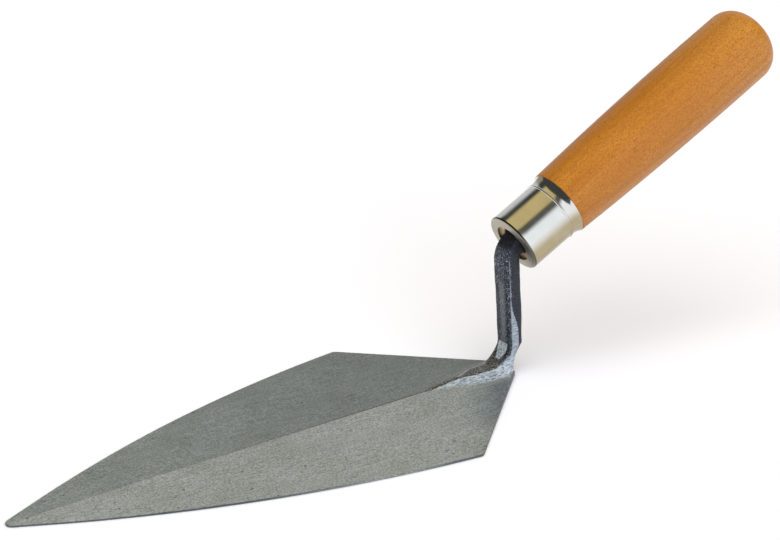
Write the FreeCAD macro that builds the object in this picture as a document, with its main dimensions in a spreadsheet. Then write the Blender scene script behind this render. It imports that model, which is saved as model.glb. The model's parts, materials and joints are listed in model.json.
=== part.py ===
"""Brick trowel: a one-piece steel forging (blade, neck and tang), a plated steel ferrule and a turned beech handle.

Millimetres. The origin lies on the blade's flat underside, on its centre line, at its widest point.
+X runs from the point towards the handle, +Z is up, and the trowel is symmetric about the XZ plane.
"""

import FreeCAD, Part
import Sketcher

import math
import os
import re

SIZES = {
    # blade, seen from above
    "toe_length": 172.0,  # from the point back to the shoulders
    "heel_length": 57.0,  # from the shoulders back to where the heel's two edges would meet
    "heel_end": 51.2,  # from the shoulders back to the heel's blunt end
    "blade_width": 107.2,
    "point_radius": 3.25,
    "straight_length": 20.0,  # straight part of each side, behind the point
    "straight_half_width": 11.3,
    "side_radius": 495.0,  # bow of each side from the straight part to the shoulder
    "shoulder_radius": 0.8,
    # blade thickness: each half of the top is one plane, and they meet in a low ridge
    "edge_thickness": 1.1,
    "ridge_rise": 1.3,  # how much higher the ridge is at the heel than at the point
    # foot, the low tongue in front of the neck
    "foot_front": 10.0,
    "foot_back": 47.0,
    "foot_half_base": 10.2,
    "foot_height": 4.8,
    "skirt": 1.9,  # height at which the foot's sides run out into the blade
    # root, where the neck grows out of the foot and the heel
    "bend_start": 39.7,  # where the foot's level top starts to turn up into the neck
    "bend_radius": 8.8,  # inside radius of the lower bend
    "root_rear_half": 5.4,
    # neck
    "neck_width": 9.4,
    "neck_depth": 7.8,
    "neck_chamfer": 1.1,  # front edges
    "neck_round": 2.4,  # rear edges
    "neck_base_x": 52.7,  # the neck's centre line at neck_base_z
    "neck_base_z": 13.0,
    "neck_lean": 4.5,  # degrees, towards the point
    "neck_bend": 8.0,  # centre-line radius of the upper bend
    # handle axis, through the centre of the ferrule's front face
    "grip_x": 52.3,
    "grip_z": 56.7,
    "grip_angle": 28.2,  # degrees above the blade
    # tang, measured along the handle axis from the ferrule's front face
    "tang_start": 11.0,
    "tang_end": 92.0,
    "tang_root": 7.2,
    "tang_tip": 3.2,
    # ferrule
    "ferrule_radius": 13.0,
    "ferrule_wall": 1.2,
    "ferrule_hole": 8.5,
    "ferrule_edge": 1.0,
    "ferrule_length": 26.0,
    "bead_s": 21.0,
    "bead_half": 0.5,  # half the raised line's length along the axis
    "bead_radius": 0.53,
    "flare_start": 21.8,
    "rim_radius": 14.1,
    # handle
    "spigot_face": 1.5,
    "mouth_radius": 6.3,
    "wood_start_radius": 14.3,  # radius of the wood against the ferrule's rim
    "barrel_end": 118.0,
    "barrel_radius": 16.5,
    "end_corner": 10.0,  # radius of the rounding behind the barrel
    "end_dome": 24.0,  # radius of the shallow dome that closes the end
    "handle_length": 144.0,
}

doc = FreeCAD.newDocument("brick_trowel")
sheet = doc.addObject("Spreadsheet::Sheet", "Sizes")
for row, (alias, value) in enumerate(SIZES.items(), start=1):
    sheet.set(f"A{row}", alias)
    sheet.set(f"B{row}", str(value))
    sheet.setAlias(f"B{row}", alias)
doc.recompute()


def cells(expression):
    """The expression with every alias written as a reference to the sheet."""
    return re.sub(r"[a-z_]+", lambda word: f"Sizes.{word[0]}" if word[0] in SIZES else word[0], expression)


def number(expression):
    """The expression's value, used only as the solver's first guess."""
    return float(sheet.evalExpression(cells(expression)))


def origin_plane(body, role):
    return next(f for f in body.Origin.OriginFeatures if f.Role == role)


def new_sketch(body, name, plane, offset=None):
    sketch = body.newObject("Sketcher::SketchObject", name)
    sketch.AttachmentSupport = [(origin_plane(body, plane), "")]
    sketch.MapMode = "FlatFace"
    for path, expression in (offset or {}).items():
        sketch.setExpression(f"AttachmentOffset.{path}", cells(expression))
    return sketch


def bind(sketch, constraint, expression):
    """Adds a dimensional constraint and ties it to the sheet."""
    index = sketch.addConstraint(constraint)
    sketch.setExpression(f"Constraints[{index}]", cells(expression))


def bind_angle(sketch, geometry, expression):
    """Ties a line's angle above the sketch's X axis to the sheet, in degrees."""
    radians = number(expression) * math.pi / 180
    index = sketch.addConstraint(Sketcher.Constraint("Angle", -1, 1, geometry, 1, radians))
    sketch.setExpression(f"Constraints[{index}]", cells(f"( {expression} ) * 1 deg"))


def pin_point(sketch, geometry, point, x, y):
    """Holds a sketch point at two expressions."""
    bind(sketch, Sketcher.Constraint("DistanceX", -1, 1, geometry, point, number(x)), x)
    bind(sketch, Sketcher.Constraint("DistanceY", -1, 1, geometry, point, number(y)), y)


def line(sketch, start, end):
    a = FreeCAD.Vector(number(start[0]), number(start[1]), 0)
    b = FreeCAD.Vector(number(end[0]), number(end[1]), 0)
    return sketch.addGeometry(Part.LineSegment(a, b), False)


def polygon(sketch, corners):
    """A closed polygon whose corners are pairs of expressions."""
    edges = [line(sketch, corners[k], corners[(k + 1) % len(corners)]) for k in range(len(corners))]
    for k, edge in enumerate(edges):
        sketch.addConstraint(Sketcher.Constraint("Coincident", edge, 2, edges[(k + 1) % len(edges)], 1))
        pin_point(sketch, edge, 1, *corners[k])
    return edges


def feature(body, kind, name, **settings):
    made = body.newObject(f"PartDesign::{kind}", name)
    for key, value in settings.items():
        if key.endswith("_expression"):
            made.setExpression(key[: -len("_expression")], cells(value))
        else:
            setattr(made, key, value)
    doc.recompute()
    if made.State and ("Invalid" in made.State or "Error" in made.State):
        raise RuntimeError(f"{name}: {made.State}")
    return made


def new_body(label):
    body = doc.addObject("PartDesign::Body", label)
    body.Label = label
    return body


def blade_outline(body):
    """The blade from above: a rounded point, bowed sides and a straight V at the heel."""
    sketch = new_sketch(body, "BladeOutline", "XY_Plane")
    toe, radius = number("toe_length"), number("point_radius")
    centre = FreeCAD.Vector(radius - toe, 0, 0)
    tip = sketch.addGeometry(Part.ArcOfCircle(Part.Circle(centre, FreeCAD.Vector(0, 0, 1), radius), 2.0, 4.3))
    pin_point(sketch, tip, 3, "point_radius - toe_length", "0")
    bind(sketch, Sketcher.Constraint("Radius", tip, radius), "point_radius")
    sides = []
    for sign in ("", "-"):
        front = ("straight_length - toe_length", f"{sign} straight_half_width")
        shoulder = ("0", f"{sign} blade_width / 2")
        start = FreeCAD.Vector(centre.x - 1, number(f"{sign} point_radius"), 0)
        end = FreeCAD.Vector(number(front[0]), number(front[1]), 0)
        straight = sketch.addGeometry(Part.LineSegment(start, end), False)
        sketch.addConstraint(Sketcher.Constraint("Tangent", tip, 1 if sign == "" else 2, straight, 1))
        pin_point(sketch, straight, 2, *front)
        sides.append((straight, shoulder, sign))
    for straight, shoulder, sign in sides:
        begin = FreeCAD.Vector(number("straight_length - toe_length"), number(f"{sign} straight_half_width"), 0)
        finish = FreeCAD.Vector(0, number(shoulder[1]), 0)
        chord = finish - begin
        bow = number("side_radius") - (number("side_radius") ** 2 - chord.Length ** 2 / 4) ** 0.5
        outward = FreeCAD.Vector(-chord.y, chord.x, 0).normalize() * (bow if sign == "" else -bow)
        arc = Part.Arc(begin, (begin + finish) / 2 + outward, finish)
        bowed = sketch.addGeometry(arc, False)
        near_end, far_end = (2, 1) if sign == "" else (1, 2)
        sketch.addConstraint(Sketcher.Constraint("Coincident", straight, 2, bowed, near_end))
        pin_point(sketch, bowed, far_end, *shoulder)
        bind(sketch, Sketcher.Constraint("Radius", bowed, number("side_radius")), "side_radius")
    blunt = "blade_width / 2 * ( heel_length - heel_end ) / heel_length"
    heel = [("0", "blade_width / 2"), ("heel_end", blunt), ("heel_end", f"- {blunt}"), ("0", "- blade_width / 2")]
    before = None
    for start, end in zip(heel, heel[1:]):
        edge = line(sketch, start, end)
        pin_point(sketch, edge, 1, *start)
        if before is not None:
            sketch.addConstraint(Sketcher.Constraint("Coincident", before, 2, edge, 1))
        before = edge
    pin_point(sketch, before, 2, *heel[-1])
    return sketch


def gable_cut(body):
    """The space above the two top planes, between a section at the point and one at the heel's apex."""
    fall = "ridge_rise * toe_length / ( toe_length + heel_length )"  # from the ridge to a shoulder
    sections = []
    for name, x, rise in (("GableFront", "- toe_length", "0"), ("GableBack", "heel_length", "ridge_rise")):
        sketch = new_sketch(body, name, "YZ_Plane", {"Base.z": x})
        ridge = f"edge_thickness + {rise}"
        side = f"{ridge} - {fall}"
        top = "edge_thickness + 5 * ridge_rise"
        half = "blade_width / 2"
        polygon(sketch, [("0", ridge), (half, side), (half, top), (f"- {half}", top), (f"- {half}", side)])
        sections.append(sketch)
    return feature(body, "SubtractiveLoft", "Gable", Profile=sections[0], Sections=sections[1:], Ruled=True)


def blade(body):
    outline = blade_outline(body)
    feature(body, "Pad", "BladePad", Profile=outline, Length_expression="edge_thickness + 3 * ridge_rise")
    solid = body.Shape.Volume
    gable_cut(body)
    if body.Shape.Volume >= solid:
        raise RuntimeError("the gable cuts nothing")
    corners = []
    for index, edge in enumerate(body.Shape.Edges, start=1):
        ends = [v.Point for v in edge.Vertexes]
        upright = len(ends) == 2 and (ends[0] - ends[1]).cross(FreeCAD.Vector(0, 0, 1)).Length < 1e-6
        if upright and abs(abs(ends[0].y) - number("blade_width / 2")) < 0.01:
            corners.append(f"Edge{index}")
    base = (body.Tip, corners)
    return feature(body, "Fillet", "Shoulders", Base=base, Radius_expression="shoulder_radius")


def foot(body):
    """A tongue that rises out of the ridge, level on top, with hollowed sides."""
    sections = []
    for index in range(5):
        part = index / 4
        widen = f"{math.sin(part ** 0.75 * 1.9) / math.sin(1.9):.4f}"
        x = f"foot_front + ( foot_back - foot_front ) * {part}"
        top = f"skirt + 0.3 + ( foot_height - skirt - 0.3 ) * {1 - (1 - part) ** 2.5:.4f}"
        base_half = f"1.3 + ( foot_half_base - 1.3 ) * {widen}"
        top_half = f"0.5 + ( neck_width / 2 - 0.5 ) * {part ** 0.8:.4f}"
        sketch = new_sketch(body, f"FootSection{index}", "YZ_Plane", {"Base.z": x})
        hollow = (f"( {base_half} ) * 0.4 + ( {top_half} ) * 0.6", f"skirt * 0.6 + ( {top} ) * 0.4")
        right = [(base_half, "skirt / 4"), (base_half, "skirt"), (top_half, top)]
        left = [(f"- ( {y} )", z) for y, z in reversed(right)]
        profile(sketch, right + left, {1: hollow, 3: (f"- ( {hollow[0]} )", hollow[1])})
        sections.append(sketch)
    return feature(body, "AdditiveLoft", "Foot", Profile=sections[0], Sections=sections[1:])


def root(body):
    """The neck's flared base, from the blunt heel up to the neck's own section."""
    sections = []
    turn = "foot_height + bend_radius"
    for index, part in enumerate((0.0, 0.12, 0.24, 0.4, 0.6, 0.8)):
        z = f"( skirt / 4 + ( neck_base_z - skirt / 4 ) * {part} )"
        lean = f"{part ** 2:.4f}"
        spread = f"{(1 - part) ** 1.6:.4f}"
        reach = f"sqrt(bend_radius ^ 2 - min(bend_radius; max(0; {turn} - {z})) ^ 2)"
        front = f"bend_start + {reach}"
        middle = f"foot_back + ( neck_base_x + neck_depth / 2 - neck_round - foot_back ) * {lean}"
        middle_half = f"neck_width / 2 + ( foot_half_base - neck_width / 2 ) * {spread}"
        rear = f"heel_end + ( neck_base_x + neck_depth / 2 - heel_end ) * {lean}"
        rear_half = f"root_rear_half + ( neck_width / 2 - neck_round - root_rear_half ) * {lean}"
        sketch = new_sketch(body, f"RootSection{index}", "XY_Plane", {"Base.z": z})
        right = [
            (front, "neck_width / 2 - neck_chamfer"),
            (f"{front} + neck_chamfer", "neck_width / 2"),
            (middle, middle_half),
            (rear, rear_half),
        ]
        polygon(sketch, right + [(x, f"- ( {y} )") for x, y in reversed(right)])
        sections.append(sketch)
    sections.append(neck_section(body, "RootTop"))
    return feature(body, "AdditiveLoft", "Root", Profile=sections[0], Sections=sections[1:])


def neck_section(body, name):
    """Across the neck at its base: chamfered in front, more rounded behind."""
    place = {
        "Base.x": "neck_base_x",
        "Base.z": "neck_base_z",
        "Rotation.Axis.x": "0",
        "Rotation.Axis.y": "1",
        "Rotation.Axis.z": "0",
        "Rotation.Angle": "- neck_lean",
    }
    sketch = new_sketch(body, name, "XY_Plane", place)
    half, depth = "neck_width / 2", "neck_depth / 2"
    right = [
        (f"- {depth}", f"{half} - neck_chamfer"),
        (f"neck_chamfer - {depth}", half),
        (f"{depth} - neck_round", half),
        (depth, f"{half} - neck_round"),
    ]
    polygon(sketch, right + [(x, f"- ( {y} )") for x, y in reversed(right)])
    return sketch


def neck_path(body):
    """Up the neck, round the upper bend and along the handle axis."""
    path = new_sketch(body, "NeckPath", "XZ_Plane")
    base = ("neck_base_x", "neck_base_z")
    end = ("grip_x + tang_start * cos(grip_angle)", "grip_z + tang_start * sin(grip_angle)")
    bend_start = ("neck_base_x - 2", "grip_z - 8")
    bend_middle = ("grip_x - 1", "grip_z - 2")
    bend_end = ("grip_x + 2", "grip_z + 1")
    stem = line(path, base, bend_start)
    run = line(path, bend_end, end)
    points = [FreeCAD.Vector(number(x), number(z), 0) for x, z in (bend_start, bend_middle, bend_end)]
    bend = path.addGeometry(Part.Arc(*points), False)
    pin_point(path, stem, 1, *base)
    pin_point(path, run, 2, *end)
    path.addConstraint(Sketcher.Constraint("Tangent", stem, 2, bend, 2))
    path.addConstraint(Sketcher.Constraint("Tangent", bend, 1, run, 1))
    bind(path, Sketcher.Constraint("Radius", bend, number("neck_bend")), "neck_bend")
    bind_angle(path, stem, "90 + neck_lean")
    bind_angle(path, run, "grip_angle")
    return path


def tang_section(body, name, s, size):
    """A square across the handle axis."""
    place = {
        "Base.y": f"grip_z + ( {s} ) * sin(grip_angle)",
        "Base.z": f"grip_x + ( {s} ) * cos(grip_angle)",
        "Rotation.Axis.x": "1",
        "Rotation.Axis.y": "0",
        "Rotation.Axis.z": "0",
        "Rotation.Angle": "- grip_angle",
    }
    sketch = new_sketch(body, name, "YZ_Plane", place)
    half = f"{size} / 2"
    polygon(sketch, [(half, half), (f"- {half}", half), (f"- {half}", f"- {half}"), (half, f"- {half}")])
    return sketch


def blade_forging():
    body = new_body("blade_forging")
    blade(body)
    foot(body)
    root(body)
    section = neck_section(body, "NeckSection")
    feature(body, "AdditivePipe", "Neck", Profile=section, Spine=(neck_path(body), ["Edge1", "Edge2", "Edge3"]))
    start = tang_section(body, "TangStart", "tang_start", "tang_root")
    end = tang_section(body, "TangEnd", "tang_end", "tang_tip")
    feature(body, "AdditiveLoft", "Tang", Profile=start, Sections=[end], Ruled=True)
    return body


def on_grip(body):
    """Moves a body modelled along its own X axis onto the handle axis."""
    body.setExpression("Placement.Base.x", cells("grip_x"))
    body.setExpression("Placement.Base.z", cells("grip_z"))
    body.Placement.Rotation = FreeCAD.Rotation(FreeCAD.Vector(0, -1, 0), number("grip_angle"))
    body.setExpression("Placement.Rotation.Angle", cells("grip_angle"))


def revolve(body, sketch):
    return feature(body, "Revolution", f"{body.Label}_turned", Profile=sketch, ReferenceAxis=(sketch, ["H_Axis"]))


def profile(sketch, corners, arcs=None, smooth=()):
    """A closed profile through the corners. arcs gives, for the corner an arc leaves from, a point on the
    arc; smooth lists the corners where one edge runs into the next without a break."""
    arcs = arcs or {}
    edges = []
    for k, corner in enumerate(corners):
        following = corners[(k + 1) % len(corners)]
        if k in arcs:
            a, b, c = (FreeCAD.Vector(number(x), number(y), 0) for x, y in (corner, arcs[k], following))
            leftward = (b - a).cross(c - b).z > 0
            edges.append((sketch.addGeometry(Part.Arc(a, b, c), False), *((1, 2) if leftward else (2, 1))))
        else:
            edges.append((line(sketch, corner, following), 1, 2))
    for k, (edge, start, _) in enumerate(edges):
        before, _, end = edges[k - 1]
        kind = "Tangent" if k in smooth else "Coincident"
        sketch.addConstraint(Sketcher.Constraint(kind, before, end, edge, start))
        pin_point(sketch, edge, start, *corners[k])
    return [edge for edge, _, _ in edges]


def ferrule():
    """A thin sleeve with a flat, holed front, a raised line and a flared rim."""
    body = new_body("ferrule")
    sketch = new_sketch(body, "FerruleProfile", "XZ_Plane")
    bore = "ferrule_radius - ferrule_wall"
    corners = [
        ("0", "ferrule_hole"),
        ("0", "ferrule_radius - ferrule_edge"),
        ("ferrule_edge", "ferrule_radius"),
        ("bead_s - bead_half", "ferrule_radius"),
        ("bead_s + bead_half", "ferrule_radius"),
        ("flare_start", "ferrule_radius"),
        ("ferrule_length", "rim_radius"),
        ("ferrule_length", "rim_radius - ferrule_wall"),
        ("flare_start", bore),
        ("spigot_face", bore),
        ("spigot_face", "ferrule_hole"),
    ]
    arcs = {
        1: ("ferrule_edge * 0.3", "ferrule_radius - ferrule_edge * 0.3"),
        3: ("bead_s", "ferrule_radius + bead_radius * 0.66"),
        5: ("flare_start * 0.5 + ferrule_length * 0.5", "ferrule_radius * 0.75 + rim_radius * 0.25"),
    }
    edges = profile(sketch, corners, arcs, smooth=(2, 5))
    bind(sketch, Sketcher.Constraint("Radius", edges[3], number("bead_radius")), "bead_radius")
    revolve(body, sketch)
    on_grip(body)
    return body


def handle():
    """Turned wood: a spigot inside the ferrule, a long swell and a domed end, bored for the neck and tang."""
    body = new_body("handle")
    sketch = new_sketch(body, "HandleProfile", "XZ_Plane")
    bore = "ferrule_radius - ferrule_wall"
    centre = "( handle_length - end_dome )"
    gap = "( end_dome - end_corner )"
    rise = "( barrel_radius - end_corner )"
    run = f"sqrt({gap} ^ 2 - {rise} ^ 2)"
    corners = [
        ("spigot_face", "mouth_radius"),
        ("spigot_face", bore),
        ("flare_start", bore),
        ("ferrule_length", "rim_radius - ferrule_wall"),
        ("ferrule_length", "wood_start_radius"),
        ("barrel_end", "barrel_radius"),
        (f"{centre} + {run}", "barrel_radius"),
        (f"{centre} + end_dome * {run} / {gap}", f"end_dome * {rise} / {gap}"),
        ("handle_length", "0"),
        ("tang_start", "0"),
        ("tang_start", "mouth_radius"),
    ]
    arcs = {
        4: ("ferrule_length * 0.5 + barrel_end * 0.5", "wood_start_radius * 0.25 + barrel_radius * 0.75"),
        6: (f"{centre} + {run} + end_corner * sin(25)", "barrel_radius - end_corner * ( 1 - cos(25) )"),
        7: (f"{centre} + end_dome * cos(12)", "end_dome * sin(12)"),
    }
    profile(sketch, corners, arcs, smooth=(5, 6, 7))
    revolve(body, sketch)
    squares = []
    for name, s, size in (("BoreStart", "tang_start", "tang_root"), ("BoreEnd", "tang_end", "tang_tip")):
        square = new_sketch(body, name, "YZ_Plane", {"Base.z": s})
        half = f"{size} / 2"
        polygon(square, [(half, half), (f"- {half}", half), (f"- {half}", f"- {half}"), (half, f"- {half}")])
        squares.append(square)
    solid = body.Shape.Volume
    feature(body, "SubtractiveLoft", "TangBore", Profile=squares[0], Sections=squares[1:], Ruled=True)
    if body.Shape.Volume >= solid:
        raise RuntimeError("the tang's bore cuts nothing")
    on_grip(body)
    return body


bodies = [blade_forging(), ferrule(), handle()]
doc.recompute()

for item in doc.Objects:
    if "Invalid" in item.State or "Error" in item.State:
        raise RuntimeError(f"{item.Name}: {item.State}")

os.makedirs("parts", exist_ok=True)
for body in bodies:
    shape = body.Shape
    if shape.isNull() or not shape.isValid() or len(shape.Solids) != 1:
        raise RuntimeError(f"{body.Label}: its shape is not one valid solid")
    shape.exportStep(f"parts/{body.Label}.step")
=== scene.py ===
"""Looks of the brick trowel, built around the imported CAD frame. Metres, in the frame's own axes."""

import json
import math

import bpy
import numpy as np
from mathutils import Matrix, Vector, noise
from mathutils.geometry import delaunay_2d_cdt


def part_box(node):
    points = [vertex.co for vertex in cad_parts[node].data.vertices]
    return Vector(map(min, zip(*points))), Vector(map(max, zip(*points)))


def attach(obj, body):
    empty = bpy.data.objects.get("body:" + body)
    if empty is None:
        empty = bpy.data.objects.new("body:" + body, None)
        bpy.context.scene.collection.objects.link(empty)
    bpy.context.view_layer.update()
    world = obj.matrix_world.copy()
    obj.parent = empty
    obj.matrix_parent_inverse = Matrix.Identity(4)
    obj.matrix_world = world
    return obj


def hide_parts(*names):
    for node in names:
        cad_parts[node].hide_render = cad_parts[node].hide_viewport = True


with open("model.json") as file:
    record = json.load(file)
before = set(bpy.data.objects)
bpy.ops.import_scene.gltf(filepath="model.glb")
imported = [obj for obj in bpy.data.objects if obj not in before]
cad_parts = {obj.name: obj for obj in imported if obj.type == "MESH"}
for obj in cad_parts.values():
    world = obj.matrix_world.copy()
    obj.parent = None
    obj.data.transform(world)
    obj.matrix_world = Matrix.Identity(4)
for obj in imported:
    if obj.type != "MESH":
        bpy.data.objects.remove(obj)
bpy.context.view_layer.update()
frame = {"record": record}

MM = 0.001

# ---------------------------------------------------------------- sizes, worked out from the frame
blade_low, blade_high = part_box("blade_forging")
grip = next(mount for mount in frame["record"]["mounts"] if mount["name"] == "handle_grip")
AXIS = Vector(grip["axis"]).normalized()
GRIP_ANGLE = math.atan2(AXIS.z, AXIS.x)
MOUNT_S = 83.5 * MM  # the grip mount's distance behind the ferrule's front face
FACE = Vector(grip["pos_m"]) - AXIS * MOUNT_S  # centre of the ferrule's front face

TIP_WEAR = 0.4 * MM  # how far the worn point falls short of the CAD blade's
TOE = -blade_low.x - TIP_WEAR
HALF = blade_high.y
HEEL_APEX = 57.0 * MM  # where the heel's two edges would meet
HEEL_END = 51.1 * MM
POINT_R = 2.7 * MM
STRAIGHT = 20.0 * MM  # straight part of each side, behind the point
STRAIGHT_HALF = 11.3 * MM
SIDE_R = 495.0 * MM
EDGE_T = 1.1 * MM
TIP_THINNING = 0.3 * MM
RIDGE_RISE = 1.3 * MM
EDGE_BEVEL = 0.22 * MM
CORNER_CUT = 0.22 * MM  # rounding of the corners where the blade is widest
CORNER_REACH = 0.55 * MM

FOOT_TIP = 9.6 * MM
FOOT_TOP = 4.8 * MM
FOOT_HALF = 10.3 * MM
BEND_X = 39.8 * MM  # centre of the lower bend's inside radius
BEND_R = 8.9 * MM
ROOT_TOP = FOOT_TOP + BEND_R
SKIRT_Z = 2.0 * MM
NECK_HALF = 4.7 * MM
NECK_DEPTH = 7.8 * MM
NECK_CHAMFER = 1.15 * MM
NECK_SLIM = 0.5 * MM  # how much less deep the neck is at its base
NECK_ROUND = 2.4 * MM
NECK_X = 52.7 * MM  # centre line at the root's top
NECK_LEAN = math.radians(4.5)
NECK_BEND = 8.0 * MM
TANG_START = 11.0 * MM
TANG_END = 91.9 * MM
TANG_START_SIDE = 7.0 * MM
TANG_END_SIDE = 3.0 * MM
UNEVEN = 0.2 * MM  # how rough the forged neck is


def smooth(x):
    """A soft step: 0 up to 0, and 1 from 1."""
    x = min(1.0, max(0.0, x))
    return x * x * (3 - 2 * x)


def rise(value, start, width):
    """A soft step from 0 at the start up to 1, over the width."""
    return smooth((value - start) / width)


def fall(value, stop, width):
    """A soft step from 1 down to 0 at the stop, over the width before it."""
    return smooth((stop - value) / width)


def between(low, high, share):
    """The value that lies the share of the way from low to high."""
    return low + (high - low) * share


# ---------------------------------------------------------------- blade outline and top
def side_half(x):
    """Half-width of the blade at x, from the point to the blunt heel."""
    back = x + TOE
    if x >= 0:
        return HALF * (1 - x / HEEL_APEX)
    if back >= STRAIGHT:
        return bowed_half(x)
    reach = Vector((STRAIGHT - POINT_R, STRAIGHT_HALF))
    tilt = math.atan2(reach.y, reach.x) - math.asin(POINT_R / reach.length)
    touch = POINT_R - POINT_R * math.sin(tilt)
    if back > touch:
        return STRAIGHT_HALF - (STRAIGHT - back) * math.tan(tilt)
    return math.sqrt(max(0.0, POINT_R ** 2 - (POINT_R - back) ** 2))


def bowed_half(x):
    """Half-width where each side is one long arc, from its straight part to the widest place."""
    chord = Vector((TOE - STRAIGHT, HALF - STRAIGHT_HALF))
    along = chord.normalized()
    out = Vector((-along.y, along.x))
    drop = math.sqrt(SIDE_R ** 2 - (chord.length / 2) ** 2)
    centre = Vector((STRAIGHT - TOE, STRAIGHT_HALF)) + chord / 2 - out * drop
    return centre.y + math.sqrt(SIDE_R ** 2 - (x - centre.x) ** 2)


def panel(x, y):
    """Height of the blade's top: two planes that meet in a low ridge, very slightly uneven."""
    along = (x + TOE) / (TOE + HEEL_APEX)
    slope = RIDGE_RISE * TOE / (TOE + HEEL_APEX)
    uneven = noise.noise(Vector((x * 28, y * 40, 3.1))) * 0.05 * MM
    fade = fall(abs(y), side_half(min(x, HEEL_END)), 4 * MM)
    thin = TIP_THINNING * rise(-x, 90 * MM, 70 * MM)
    return EDGE_T - thin + RIDGE_RISE * along - slope * abs(y) / HALF + uneven * fade


def outline():
    """The blade's edge from above, one side from the point to the heel, then back along the other."""
    xs = [POINT_R * (1 - math.cos(math.radians(angle))) - TOE for angle in (0, 15, 30, 45, 58, 70)]
    xs += list(np.linspace(xs[-1] + 1.2 * MM, -1.2 * MM, 110))
    xs += [corner * MM for corner in (-0.7, -0.35, -0.1, 0.12, 0.4)]
    xs += list(np.linspace(1.2 * MM, HEEL_END, 50))
    near = []
    for x in xs:
        rounding = CORNER_CUT * math.exp(-((x / CORNER_REACH) ** 2))
        near.append((x, -max(0.0, side_half(x) - rounding)))
    rear = [(HEEL_END, y) for y in np.linspace(near[-1][1], -near[-1][1], 15)[1:-1]]
    far = [(x, -y) for x, y in reversed(near[1:])]
    return near + rear + far


def inset(loop, distance):
    """The loop moved inwards by the distance."""
    count = len(loop)
    moved = []
    for k in range(count):
        a, b, c = (Vector(loop[(k + j) % count]) for j in (-1, 0, 1))
        before, after = (b - a).normalized(), (c - b).normalized()
        normal = Vector((-(before.y + after.y), before.x + after.x)).normalized()
        moved.append(tuple(b + normal * distance))
    return moved


# ---------------------------------------------------------------- foot, root, neck and tang
def foot_top(x):
    """Height of the foot's top, then of the lower bend, then the root's top."""
    if x < BEND_X:
        share = max(0.0, (x - FOOT_TIP) / (BEND_X - FOOT_TIP))
        return between(SKIRT_Z + 0.2 * MM, FOOT_TOP, 1 - (1 - share) ** 1.7)
    if x < BEND_X + BEND_R:
        return ROOT_TOP - math.sqrt(BEND_R ** 2 - (x - BEND_X) ** 2)
    return ROOT_TOP


def top_half(x):
    """Half-width of the foot's flat top: a sharp ridge, then a narrow flat, then as wide as the neck."""
    sharp = 0.25 * MM
    flat = 2.3 * MM
    widened = NECK_HALF - flat - sharp
    return sharp + flat * rise(x, 25 * MM, 10 * MM) + widened * rise(x, 39 * MM, 9.5 * MM)


def skirt_half(x):
    """Half-width of the foot where it runs out into the blade."""
    share = min(1.0, max(0.0, (x - FOOT_TIP + 0.6 * MM) / (30 * MM)))
    wide = FOOT_HALF * (1 - (1 - share) ** 1.9)
    return min(wide, HALF * (1 - min(x, HEEL_END) / HEEL_APEX) - 0.65 * MM)


def root_half(x, z):
    """Half-width of the foot and root at a point of their side view."""
    top = foot_top(x)
    down = min(1.0, max(0.0, (top - z) / (top - SKIRT_Z)))
    hollow = between(1 - math.sqrt(1 - down * down), down, 0.42)
    slim = top_half(x)
    return slim + max(0.0, skirt_half(x) - slim) * hollow


FRONT_STEPS = 6
SIDE_STEPS = 30
CORNER_STEPS = 6
REAR_STEPS = 5


def half_ring(rear, chamfer, front_half, width, corner, pull, front=0.0):
    """One side of a section as (depth, y), from the middle of its front to the middle of its rear."""
    points = [(front, -(front_half - chamfer) * k / FRONT_STEPS) for k in range(FRONT_STEPS + 1)]
    start, stop = front + chamfer, rear - corner
    for k in range(SIDE_STEPS + 1):
        depth = start + (stop - start) * (k / SIDE_STEPS) ** 1.5
        points.append((depth, -width(depth)))
    side = width(stop)
    for k in range(1, CORNER_STEPS + 1):
        angle = math.pi / 2 * k / CORNER_STEPS
        points.append((stop + corner * math.sin(angle), -(side - pull * (1 - math.cos(angle)))))
    depth, last = points[-1]
    points += [(depth, last * (1 - k / REAR_STEPS)) for k in range(1, REAR_STEPS + 1)]
    return points


def whole_ring(half):
    """Both sides of a section, from one of its sides."""
    return half + [(depth, -y) for depth, y in reversed(half[1:-1])]


def root_levels():
    """Fronts and heights of the level sections, from the blade up to the root's top."""
    tip = zip((0.0, 0.12, 0.3, 0.55, 0.9), (0.015, 0.05, 0.1, 0.16, 0.22))
    levels = [(FOOT_TIP + back * MM, SKIRT_Z + height * MM) for back, height in tip]
    for x in np.linspace(FOOT_TIP + 0.6 * MM, BEND_X, 34):
        levels.append((x, foot_top(x)))
    for k in range(1, 15):
        angle = math.pi / 2 * k / 14
        levels.append((BEND_X + BEND_R * math.sin(angle), FOOT_TOP + BEND_R * (1 - math.cos(angle))))
    return levels


def root_ring(front, z):
    """A level section of the foot or root, whose front edge is at front."""
    lift = min(1.0, max(0.0, (z - SKIRT_Z) / (ROOT_TOP - SKIRT_Z)))
    rear = between(HEEL_END - 0.5 * MM, NECK_X + NECK_DEPTH / 2 - NECK_SLIM, lift ** 1.7)
    chamfer = between(0.16 * MM, NECK_CHAMFER, rise(front, 22 * MM, 26 * MM))
    corner = between(0.9 * MM, NECK_ROUND, lift)
    pull = between(1.25 * MM, NECK_ROUND, lift ** 1.5)
    slim = max(0.2 * MM, top_half(front))
    half = half_ring(rear, min(chamfer, slim * 0.8), slim, lambda x: root_half(x, z), corner, pull, front)
    return [Vector((x, y, z)) for x, y in whole_ring(half)]


def neck_ring(centre, tangent, scale=1.0, taper=1.0, slim=0.0):
    """A section across the neck's centre line; tangent is its angle above +X."""
    back = Vector((math.sin(tangent), 0, -math.cos(tangent)))
    rear = NECK_DEPTH - slim
    half = half_ring(rear, NECK_CHAMFER, NECK_HALF, lambda depth: NECK_HALF, NECK_ROUND, NECK_ROUND)
    ring = []
    for depth, y in whole_ring(half):
        ring.append(centre + back * (depth - NECK_DEPTH / 2) * scale + Vector((0, y * taper, 0)))
    return ring


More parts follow.
